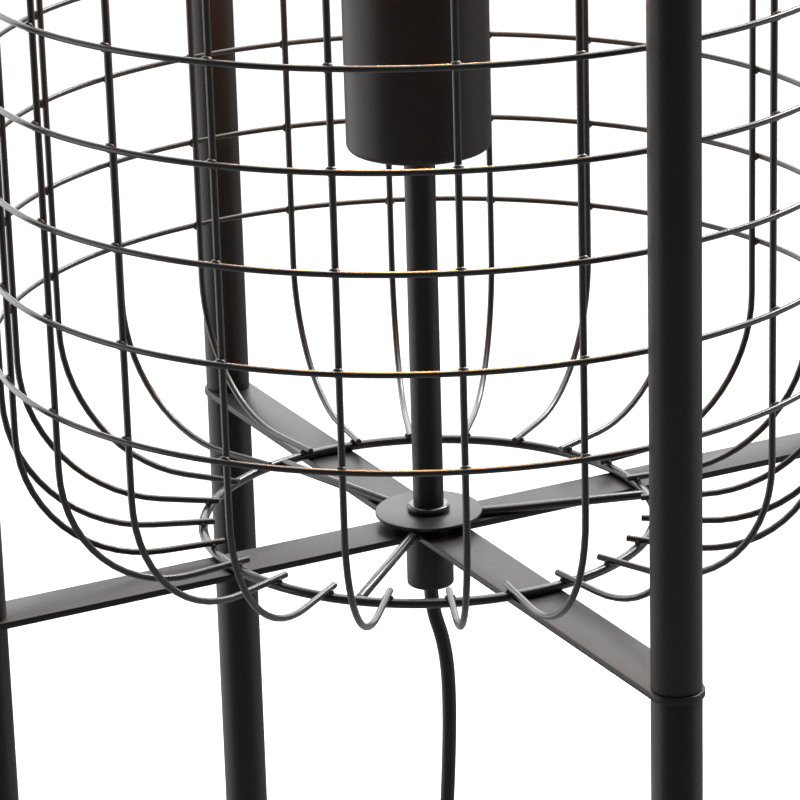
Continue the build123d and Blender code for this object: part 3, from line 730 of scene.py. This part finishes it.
class BuildBulbWorks(Operator):
    """The bulb's threaded cap, glass stem, crowns and filaments"""

    bl_idname = "cage_lamp.bulb_works"
    bl_label = "Bulb works"

    def execute(self, context):
        self.build_cap(context.scene.lamp_fitting.cap_thread)
        self.build_contacts()
        self.build_stem()
        self.build_filaments()
        return {"FINISHED"}

    def build_cap(self, pitch):
        """One wave of the thread, spun up a helix, cut level and joined to a collar above and a lip below."""
        low, high = heights("bulb_screw_cap")
        radius = radius_of("bulb_screw_cap")
        crest, sheet = 0.4 * MM, 0.3 * MM
        start, collar = low + 1.2 * MM, high - 5.0 * MM
        steps, waves = 36, 8
        turns = math.ceil((high - low) / pitch) + 2
        cap = bmesh.new()
        wave = [cap.verts.new((radius - crest * (1 + math.cos(math.tau * i / waves)), 0,
                               low - pitch * (1 - i / waves))) for i in range(waves + 1)]
        edges = [cap.edges.new(pair) for pair in zip(wave, wave[1:])]
        bmesh.ops.spin(cap, geom=wave + edges, cent=ORIGIN, axis=(0, 0, 1), dvec=(0, 0, pitch / steps),
                       angle=math.tau * turns, steps=steps * turns)
        bmesh.ops.remove_doubles(cap, verts=cap.verts, dist=20 * SAME)
        for level, side, rings in (
                (start, -1, [(radius - 1.6 * MM, low)]),
                (collar, 1, [(radius - TOUCH, collar + 0.5 * MM), (radius, high)])):
            bmesh.ops.bisect_plane(cap, geom=cap.verts[:] + cap.edges[:] + cap.faces[:], plane_co=(0, 0, level),
                                   plane_no=(0, 0, side), clear_outer=True)
            rim = [e for e in level_edges(cap, level) if e.is_boundary]
            for width, height in rings:
                verts, rim = extrude_edges(cap, rim)
                for vert in verts:
                    vert.co = (*(vert.co.xy.normalized() * width), height)
        give_wall(finish_piece(cap, "bulb_thread_cap", "nickelled_cap", "bulb_screw_cap", 60, "bulb"),
                  sheet)

    def build_contacts(self):
        """The black insulator and the drop of solder under it."""
        low, high = heights("bulb_insulator")
        foot = radius_of("bulb_tip_contact")
        seat, step = radius_of("bulb_insulator") - 1.2 * MM, 2.2 * MM
        cone = lathe([(0, low), (foot, low), (seat, high - step), (seat, high), (0, high)],
                     [(2, 0.8 * MM), (1, 0.4 * MM)], steps=48)
        finish_piece(cone, "bulb_insulator_cone", "black_vitrite", "bulb_insulator", body="bulb")
        low, high = heights("bulb_tip_contact")
        section = [(0, low), (foot * 0.55, low + 0.1 * MM), (foot, high - 0.4 * MM), (foot, high), (0, high)]
        solder = lathe(section, [(2, 0.3 * MM), (1, 1.2 * MM)], steps=40)
        finish_piece(solder, "bulb_tip_solder", "pressed_brass", "bulb_tip_contact", body="bulb")

    def build_stem(self):
        """The glass stem, flared where it joins the neck."""
        low, high = heights("bulb_stem")
        flare, tube = radius_of("bulb_stem"), 4.5 * MM
        section = [(0, high), (tube * 0.8, high), (tube, high - 6 * MM), (tube, low + 7 * MM), (flare, low + 1 * MM),
                   (flare, low), (0, low)]
        stem = lathe(section, [(4, 0.5 * MM), (3, 5 * MM), (2, 2 * MM), (1, 1.5 * MM)], steps=48)
        finish_piece(stem, "bulb_glass_stem", "clear_glass", "bulb_stem", 60, "bulb")

    def build_filaments(self):
        """Two crowns of wire, with the filaments leaning out from the lower to the upper."""
        foot, head, gauge = 5.0 * MM, 9.5 * MM, 0.8 * MM
        rod_gauge, post_gauge, gap = 1.8 * MM, 1.2 * MM, 0.2 * MM
        count = 6
        ways = [polar(math.tau * index / count) for index in range(count)]
        low, high = heights("bulb_crowns")
        crowns = bmesh.new()
        for radius, level in ((foot, low + gauge / 2), (head, high - gauge / 2)):
            wire_ring(crowns, radius, gauge, level, steps=48, sides=8)
            lift = Vector((0, 0, level))
            for way in ways:
                round_rod(crowns, lift, way * radius + lift, gauge * 0.9, 0.1 * MM, sides=8)
        round_rod(crowns, (0, 0, low + gauge), (0, 0, high), post_gauge, 0.2 * MM, sides=14)
        finish_piece(crowns, "bulb_crown_wires", "nickel_wire", "bulb_crowns", 60, "bulb")

        low, high = heights("bulb_filaments")
        below, above = Vector((0, 0, low + gap)), Vector((0, 0, high - gap))
        rods = bmesh.new()
        for way in ways:
            round_rod(rods, way * foot + below, way * head + above, rod_gauge, 0.5 * MM, sides=14)
        finish_piece(rods, "bulb_filament_rods", "phosphor_glow", "bulb_filaments", 60, "bulb")


class BuildFeet(Operator):
    """Moulded feet: a pad on the floor with a hollow under it, and a ribbed spigot in the tube"""

    bl_idname = "cage_lamp.feet"
    bl_label = "Feet"

    def execute(self, context):
        low, high = heights("feet")
        pad = heights("leg_1")[0]
        outer = radius_of("pole_1")
        spigot = outer - 1.25 * MM
        core = spigot - 0.6 * MM
        hollow, lip, pitch = low + 0.8 * MM, 4.4 * MM, 3.2 * MM
        section = [(0, hollow), (outer - 4 * MM, hollow), (outer - lip, low), (outer, low), (outer, pad), (core, pad)]
        for rib in range(4):
            level = pad + 2 * MM + rib * pitch
            section += [(core, level), (spigot, level + 0.4 * MM), (spigot, level + 1.2 * MM),
                        (core, level + 1.6 * MM)]
        section += [(core, high), (0, high)]
        feet = bmesh.new()
        for number in CORNERS:
            merge(feet, lathe(section, [(4, 0.3 * MM), (3, 1.0 * MM)], foot_of(f"leg_{number}"), 56, 4))
        finish_piece(feet, "foot_pads", "moulded_foot", "feet")
        return {"FINISHED"}


class BuildSwitch(Operator):
    """Foot switch: base with a strain relief on each side, cover, and a dished button with grip rings"""

    bl_idname = "cage_lamp.foot_switch"
    bl_label = "Foot switch"

    def execute(self, context):
        sizes = context.scene.lamp_fitting
        wall, outer = sizes.switch_wall, sizes.switch_radius
        inner = outer - wall
        place = foot_of("switch_base")
        low = heights("switch_base")[0]
        seam, top = heights("switch_cover")
        base = lathe([(0, low), (outer, low), (outer, seam), (inner, seam), (inner, low + wall), (0, low + wall)],
                     [(4, 1 * MM), (2, 0.5 * MM), (1, 1.5 * MM)], place, 96)
        reach = size_of("switch_base").y / 2 - sizes.relief_length
        cord_level, tip = 7.0 * MM, 4.2 * MM
        for side in (1, -1):
            root = (place[0], place[1] + side * reach, cord_level)
            merge(base, strain_relief(root, (0, side, 0), sizes.relief_length, sizes.relief_wide, tip))
        finish_piece(base, "switch_lower_shell", "spark_moulding", "switch_base")

        hole = sizes.button_radius + 0.3 * MM
        groove, sunk = hole + 3.0 * MM, top - 0.6 * MM
        section = [(hole, top), (groove, top), (groove + 0.4 * MM, sunk), (groove + 1.4 * MM, sunk),
                   (groove + 1.8 * MM, top), (outer, top), (outer, seam), (inner, seam), (inner, top - wall),
                   (hole, top - wall)]
        rounds = [(8, sizes.switch_round - wall), (6, 0.5 * MM), (5, sizes.switch_round)]
        finish_piece(lathe(section, rounds, place, 96, 8), "switch_upper_shell", "spark_moulding",
                     "switch_cover")

        low, high = heights("switch_button")
        flange, flange_top = radius_of("switch_button"), low + 2 * MM
        edge = sizes.button_radius
        section = [(0, high - 1.1 * MM)]
        for ring in (2.2 * MM, 4.9 * MM, 7.6 * MM):
            section += [(ring - 0.5 * MM, high - 1.0 * MM), (ring - 0.2 * MM, high - 0.5 * MM),
                        (ring + 0.4 * MM, high - 0.5 * MM), (ring + 0.7 * MM, high - 0.95 * MM)]
        section += [(edge - 2.6 * MM, high - 0.7 * MM), (edge - 1.6 * MM, high), (edge, high), (edge, flange_top),
                    (flange, flange_top), (flange, low), (0, low)]
        button = lathe(section, [(len(section) - 5, 1.0 * MM)], place, 80)
        finish_piece(button, "switch_push_button", "spark_moulding", "switch_button",
                     body="foot_button")
        return {"FINISHED"}


class BuildPlug(Operator):
    """Flat two-pin plug with grip ribs, a strain relief and sleeved pins"""

    bl_idname = "cage_lamp.plug"
    bl_label = "Plug"

    def execute(self, context):
        sizes = context.scene.lamp_fitting
        low, high = (Vector(corner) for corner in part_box("plug_body"))
        middle = (low + high) / 2
        front, back = low.y, low.y + sizes.plug_length
        half_front, half_back = radius_of("plug_body"), sizes.plug_back / 2
        shoulder = back - (half_front - half_back)
        top = high.z - 0.6 * MM  # the ribs stand above it
        body = bmesh.new()
        outline = [(half_front, front), (half_front, shoulder), (half_back, back), (-half_back, back),
                   (-half_front, shoulder), (-half_front, front)]
        face = body.faces.new([body.verts.new((middle.x + x, y, low.z)) for x, y in outline])
        lifted = bmesh.ops.extrude_face_region(body, geom=[face])["geom"]
        bmesh.ops.translate(body, verts=only(VERT, lifted), vec=(0, 0, top - low.z))
        upright = [e for e in body.edges if abs(e.verts[0].co.z - e.verts[1].co.z) > 1 * MM]
        bevel_edges(body, upright, 2.2 * MM, 5)
        for level, offset in ((top, 2.0 * MM), (low.z, 0.8 * MM)):
            bevel_edges(body, level_edges(body, level), offset, 5, clamp=True)
        rib_gauge, rib_reach = 1.7 * MM, 12.0 * MM
        for row in range(4):
            place = Vector((middle.x, front + (6.0 + 4.2 * row) * MM, high.z - rib_gauge / 2))
            rib = bmesh.new()
            round_rod(rib, place - Vector((rib_reach, 0, 0)), place + Vector((rib_reach, 0, 0)), rib_gauge, 0.4 * MM)
            merge(body, rib)
        buried = 0.5 * MM
        merge(body, strain_relief((middle.x, back - buried, middle.z), (0, 1, 0), high.y - back + buried,
                                  sizes.relief_wide, 4.0 * MM))
        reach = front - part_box("plug_pins")[0][1]
        core, skin, blade, sleeve = 1.6 * MM, 1.95 * MM, 2 * MM, 9.0 * MM
        pins = bmesh.new()
        for side in (1, -1):
            root = (middle.x + side * sizes.pin_spacing / 2, front, middle.z)
            cover = lathe([(core, -buried), (skin, -buried), (skin, sleeve), (core, sleeve)], steps=32)
            merge(body, aimed(cover, root, (0, -1, 0)))
            pin = lathe([(0, 0), (core, 0), (core, sleeve), (blade, sleeve + 0.1 * MM), (blade, reach), (0, reach)],
                        [(4, 1 * MM)], steps=32)
            merge(pins, aimed(pin, root, (0, -1, 0)))
        finish_piece(body, "plug_moulding", "spark_moulding", "plug_body", smooth_angle=30)
        finish_piece(pins, "plug_pin_pair", "nickel_pin", "plug_pins")
        return {"FINISHED"}


CAD_FINISHES = {
    "zinc_plate": ("leg_plugs", "pole_top_plugs", "pole_studs", "threaded_conduit", "conduit_nut"),
    "thermoset_resin": ("cord_bush",),
    "sheath_pvc": ("inner_cable",),
    "pressed_brass": ("holder_screw_shell", "holder_contact"),
    "nylon_works": ("switch_core",),
}


class DressSolids(Operator):
    """Finishes for the CAD solids that stay"""

    bl_idname = "cage_lamp.solids"
    bl_label = "Solids that stay"

    def execute(self, context):
        for name, nodes in CAD_FINISHES.items():
            for node in nodes:
                mesh = bpy.data.objects[node].data
                mesh.materials.clear()
                mesh.materials.append(materials[name])
        return {"FINISHED"}


# ---- cord: the routes are in millimetres

CORD_DIAMETER = 6.2 * MM
DROP_ROUTE = [
    (0, 0, 755), (0, 0, 744), (5.0, 1.7, 727), (6.6, 2.2, 705), (5.5, 1.8, 667), (1.8, 0.7, 611), (-1.5, -1.5, 540),
    (-1.0, -3.8, 458), (2.5, -4.2, 372), (4.6, -1.5, 287), (3.2, 2.0, 206), (0.5, 4.0, 136), (0.4, 9.0, 82),
    (2.0, 21.0, 41), (3.0, 43.0, 15), (0.0, 74.0, 4.1), (-7.0, 107.0, 3.1), (-11.5, 131.0, 3.2), (-11.2, 149.5, 4.9),
    (-10, 166.5, 7), (-10, 183, 7),
]
LEAD_ROUTE = [(-10, 287, 7), (-10, 298, 7), (-7.4, 311, 4.9), (-4, 323.5, 3.1)]
COIL_START = (-4.0, 342.0, 3.1)
COIL_RADIUS = 40.0
TURN_SPACING = 6.9
COIL_LEAD = 6.2  # straight before and after the turns
PLUG_NOSE = [(88, 276, 6.85), (88, 262, 6.85)]


def cord_curve(name, points):
    """A smooth tube along control points."""
    curve = bpy.data.curves.new(name, "CURVE")
    curve.dimensions = "3D"
    spline = curve.splines.new("NURBS")
    spline.points.add(len(points) - 1)
    for point, place in zip(spline.points, points):
        point.co = (*(Vector(place) * MM), 1.0)
    spline.order_u = 3
    spline.use_endpoint_u = True
    spline.resolution_u = 8
    curve.bevel_depth = CORD_DIAMETER / 2
    curve.bevel_resolution = 5
    curve.use_fill_caps = True
    curve.materials.append(materials["sheath_pvc"])
    return add_object(name, curve)


def coil_points():
    """Control points of the coil: half turns whose radius shrinks by half a turn's spacing, then grows again."""
    inward = [COIL_RADIUS - step * TURN_SPACING / 2 for step in range(4)]
    climb = COIL_RADIUS - 4 * TURN_SPACING / 2
    here = Vector(COIL_START)
    heading = 1
    points = [here - Vector((0, COIL_LEAD, 0))]
    per_half = 8
    for radius in inward + [climb] + inward[::-1]:
        rise = TURN_SPACING if radius == climb else 0.0
        across = math.sqrt(4 * radius ** 2 - rise ** 2)
        middle = here + Vector((heading * across / 2, 0, rise / 2))
        outward = radius / math.cos(math.pi / per_half / 2)
        for step in range(per_half):
            angle = math.pi * (step + 0.5) / per_half
            share = -math.cos(angle)
            points.append(middle + Vector((heading * share * outward * across / 2 / radius,
                                           heading * math.sin(angle) * outward, share * rise / 2)))
        here = here + Vector((heading * across, 0, rise))
        heading = -heading
    points.append(here + Vector((0, heading * COIL_LEAD, 0)))
    return points


def tail_points(start):
    """Control points from the coil to the plug's nose."""
    x, y, z = start
    return [(x, y - 13, z), (x + 2.6, y - 28, z - 2.8), (x + 7.2, y - 43, z - 5.0)] + PLUG_NOSE


def tube_length(piece):
    """Length of a cord along its middle."""
    bare = piece.copy()
    bare.data = piece.data.copy()
    bare.data.bevel_depth = 0
    mesh = bpy.data.meshes.new_from_object(bare)
    places = [v.co for v in mesh.vertices]
    length = sum((b - a).length for a, b in zip(places, places[1:]))
    bpy.data.meshes.remove(mesh)
    bpy.data.curves.remove(bare.data)
    return length


class BuildCord(Operator):
    """The mains lead: drop to the foot switch, lead to the coil, coil and tail to the plug"""

    bl_idname = "cage_lamp.cord"
    bl_label = "Cord"

    def execute(self, context):
        coil_route = coil_points()
        floor_route = LEAD_ROUTE + coil_route + tail_points(coil_route[-1])
        parts = [
            ("cord_drop_lead", DROP_ROUTE, ["cord_drop"], "fitting", "hanging",
             ["switch_lower_shell", "switch_upper_shell", "switch_push_button", "switch_core"]),
            ("cord_floor_lead", floor_route, ["cord_lead", "cord_coil", "cord_tail"], "plug", "coiled",
             ["plug_moulding", "plug_pin_pair"]),
        ]
        for name, route, nodes, end, lay, others in parts:
            piece = cord_curve(name, route)
            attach(piece, "frame")
            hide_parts(*nodes)
            tube_length(piece)
        return {"FINISHED"}


# ---- stage

LAMP_MIDDLE = (0, 0, 0.95)
# Place, the point that it faces, width, height, watts.
SOFT_BOXES = {
    "top_box": ((0.2, 0.9, 3.6), LAMP_MIDDLE, 3.0, 3.0, 110),
    "left_box": ((-1.6, 0.0, 0.75), LAMP_MIDDLE, 2.6, 1.5, 15),
    "right_box": ((1.7, 0.6, 0.75), LAMP_MIDDLE, 1.6, 1.5, 3),
    "rim_box": ((0.62, 1.35, 2.2), LAMP_MIDDLE, 0.5, 0.9, 30),
    "back_box": ((-0.45, 1.15, 1.32), (-0.06, 0.12, 0.79), 0.5, 0.3, 1.0),
}
FLOOR_REACH = 30.0
BEAM_ANGLE = math.radians(56)
BEAM_FALL = -0.62  # the beam falls this far in each metre


def add_floor():
    """Seamless paper. It throws little light back on the lamp, as a paper flagged off from it does."""
    paper = bmesh.new()
    bmesh.ops.create_grid(paper, x_segments=1, y_segments=1, size=FLOOR_REACH)
    mesh = bpy.data.meshes.new("studio_floor")
    paper.to_mesh(mesh)
    paper.free()
    tree = new_tree("seamless_paper")
    seen = add_node(tree, "BsdfPrincipled", None,
                    {"Base Color": rgba(linear("#f8f8f8")), "Roughness": 0.9, "Emission Color": rgba(WHITE),
                     "Emission Strength": 0.35})
    dim = add_node(tree, "BsdfDiffuse", None, {"Color": rgba(linear("#7c7c7c"))})
    surface = by_ray(tree, "Is Camera Ray", dim, seen)
    add_node(tree, "OutputMaterial", {"Surface": surface.outputs[0]})
    mesh.materials.append(materials["seamless_paper"])
    add_object("studio_floor", mesh)


def add_walls(scene):
    """The wall behind the lamp is bright, and the side towards the camera is dim."""
    scene.world = bpy.data.worlds.new("studio")
    scene.world.use_nodes = True
    tree = scene.world.node_tree
    tree.nodes.clear()
    way = add_node(tree, "TexCoord").outputs["Generated"]
    bright = polar(scene.lamp_studio.bearing + math.radians(188)) + Vector((0, 0, 0.25))
    toward = add_node(tree, "VectorMath", {0: way}, {1: bright}, operation="DOT_PRODUCT")
    level = add_node(tree, "MapRange", {"Value": toward.outputs["Value"]},
                     {"From Min": 0.2, "From Max": 1.0, "To Min": 0.1, "To Max": 2.1},
                     interpolation_type="SMOOTHSTEP")
    sky = add_node(tree, "Background", {"Strength": level.outputs[0]}, {"Color": rgba(WHITE)})
    seen = add_node(tree, "Background", None, {"Color": rgba(WHITE), "Strength": 1.0})
    surface = by_ray(tree, "Is Camera Ray", sky, seen)
    add_node(tree, "OutputWorld", {"Surface": surface.outputs[0]})


def add_light(name, kind, place, way, power, **settings):
    """A studio light that faces a way and that the camera doesn't see."""
    light = bpy.data.lights.new(name, kind)
    light.energy = power
    for key, value in settings.items():
        setattr(light, key, value)
    lamp = add_object(name, light)
    lamp.location = place
    lamp.rotation_euler = Vector(way).to_track_quat("-Z", "Y").to_euler()
    lamp.visible_camera = False
    return lamp


def add_camera(scene):
    """The camera at the photograph's angle."""
    studio = scene.lamp_studio
    camera = add_object("photo_camera", bpy.data.cameras.new("photo_camera"))
    camera.data.sensor_width = 36.0
    camera.data.lens = studio.lens
    camera.data.clip_end = 200
    place = polar(studio.bearing) * studio.distance + Vector((0, 0, studio.height))
    heading = studio.bearing + math.pi - studio.pan
    forward = polar(heading) * math.cos(studio.tilt) - Vector((0, 0, math.sin(studio.tilt)))
    level_right = Vector((math.sin(heading), -math.cos(heading), 0))
    level_up = level_right.cross(forward)
    right = math.cos(studio.roll) * level_right + math.sin(studio.roll) * level_up
    up = -math.sin(studio.roll) * level_right + math.cos(studio.roll) * level_up
    turned = Matrix((right, up, -forward)).transposed().to_4x4()
    camera.matrix_world = Matrix.Translation(place) @ turned
    bpy.context.scene.camera = camera


class BuildStage(Operator):
    """Pale floor, soft studio light and the camera at the photograph's angle"""

    bl_idname = "cage_lamp.stage"
    bl_label = "Stage"

    def execute(self, context):
        add_floor()
        add_walls(context.scene)
        for name, (place, target, width, height, power) in SOFT_BOXES.items():
            add_light(name, "AREA", place, Vector(target) - Vector(place), power, shape="RECTANGLE", size=width,
                      size_y=height)
        # Warm light from the middle of the globe: a little all round, and a beam on the fronts of the hoops. The
        # beam is a studio light. It gives the orange lines of the photograph, which the bulb alone would not.
        middle = centre_of("bulb_filaments")
        warm = {"color": context.scene.lamp_finish.filament_light, "shadow_soft_size": 0.045}
        forward = polar(context.scene.lamp_studio.bearing) + Vector((0, 0, BEAM_FALL))
        for lamp in (add_light("bulb_light", "POINT", middle, (0, 0, -1), 2.5, **warm),
                     add_light("bulb_beam", "SPOT", middle, forward, 60.0, spot_size=BEAM_ANGLE, spot_blend=0.8,
                               **warm)):
            lamp.visible_transmission = False
        add_camera(context.scene)
        context.scene.view_settings.view_transform = "Standard"
        return {"FINISHED"}


PIECE_OPERATORS = (
    BuildFinishes, BuildSwitch, BuildPlug, BuildCord, BuildTubes, BuildFeet, BuildCapScrews, BuildCrosses, BuildRings,
    BuildUprights, BuildSpokes, BuildHub, BuildLampholder, BuildBulb, BuildBulbWorks, DressSolids, BuildStage)


class CageLampPanel(Panel):
    """Lists the lamp's settings and the operators that build it"""

    bl_idname = "VIEW3D_PT_cage_lamp"
    bl_label = "Cage Lamp"
    bl_space_type = "VIEW_3D"
    bl_region_type = "UI"
    bl_category = "Cage Lamp"

    def draw(self, context):
        layout = self.layout
        for operator in PIECE_OPERATORS:
            layout.operator(operator.bl_idname)
        for name in SETTINGS:
            group = getattr(context.scene, name)
            for key in group.bl_rna.properties.keys():
                if key not in {"rna_type", "name"}:
                    layout.prop(group, key)


def register():
    for name, group in SETTINGS.items():
        bpy.utils.register_class(group)
        setattr(bpy.types.Scene, name, PointerProperty(type=group))
    for kind in (*PIECE_OPERATORS, CageLampPanel):
        bpy.utils.register_class(kind)


def unregister():
    for kind in (CageLampPanel, *reversed(PIECE_OPERATORS)):
        bpy.utils.unregister_class(kind)
    for name, group in SETTINGS.items():
        delattr(bpy.types.Scene, name)
        bpy.utils.unregister_class(group)


def main():
    register()
    for operator in PIECE_OPERATORS:
        group, name = operator.bl_idname.split(".")
        getattr(getattr(bpy.ops, group), name)()
    bpy.context.view_layer.update()


if __name__ == "__main__":
    main()
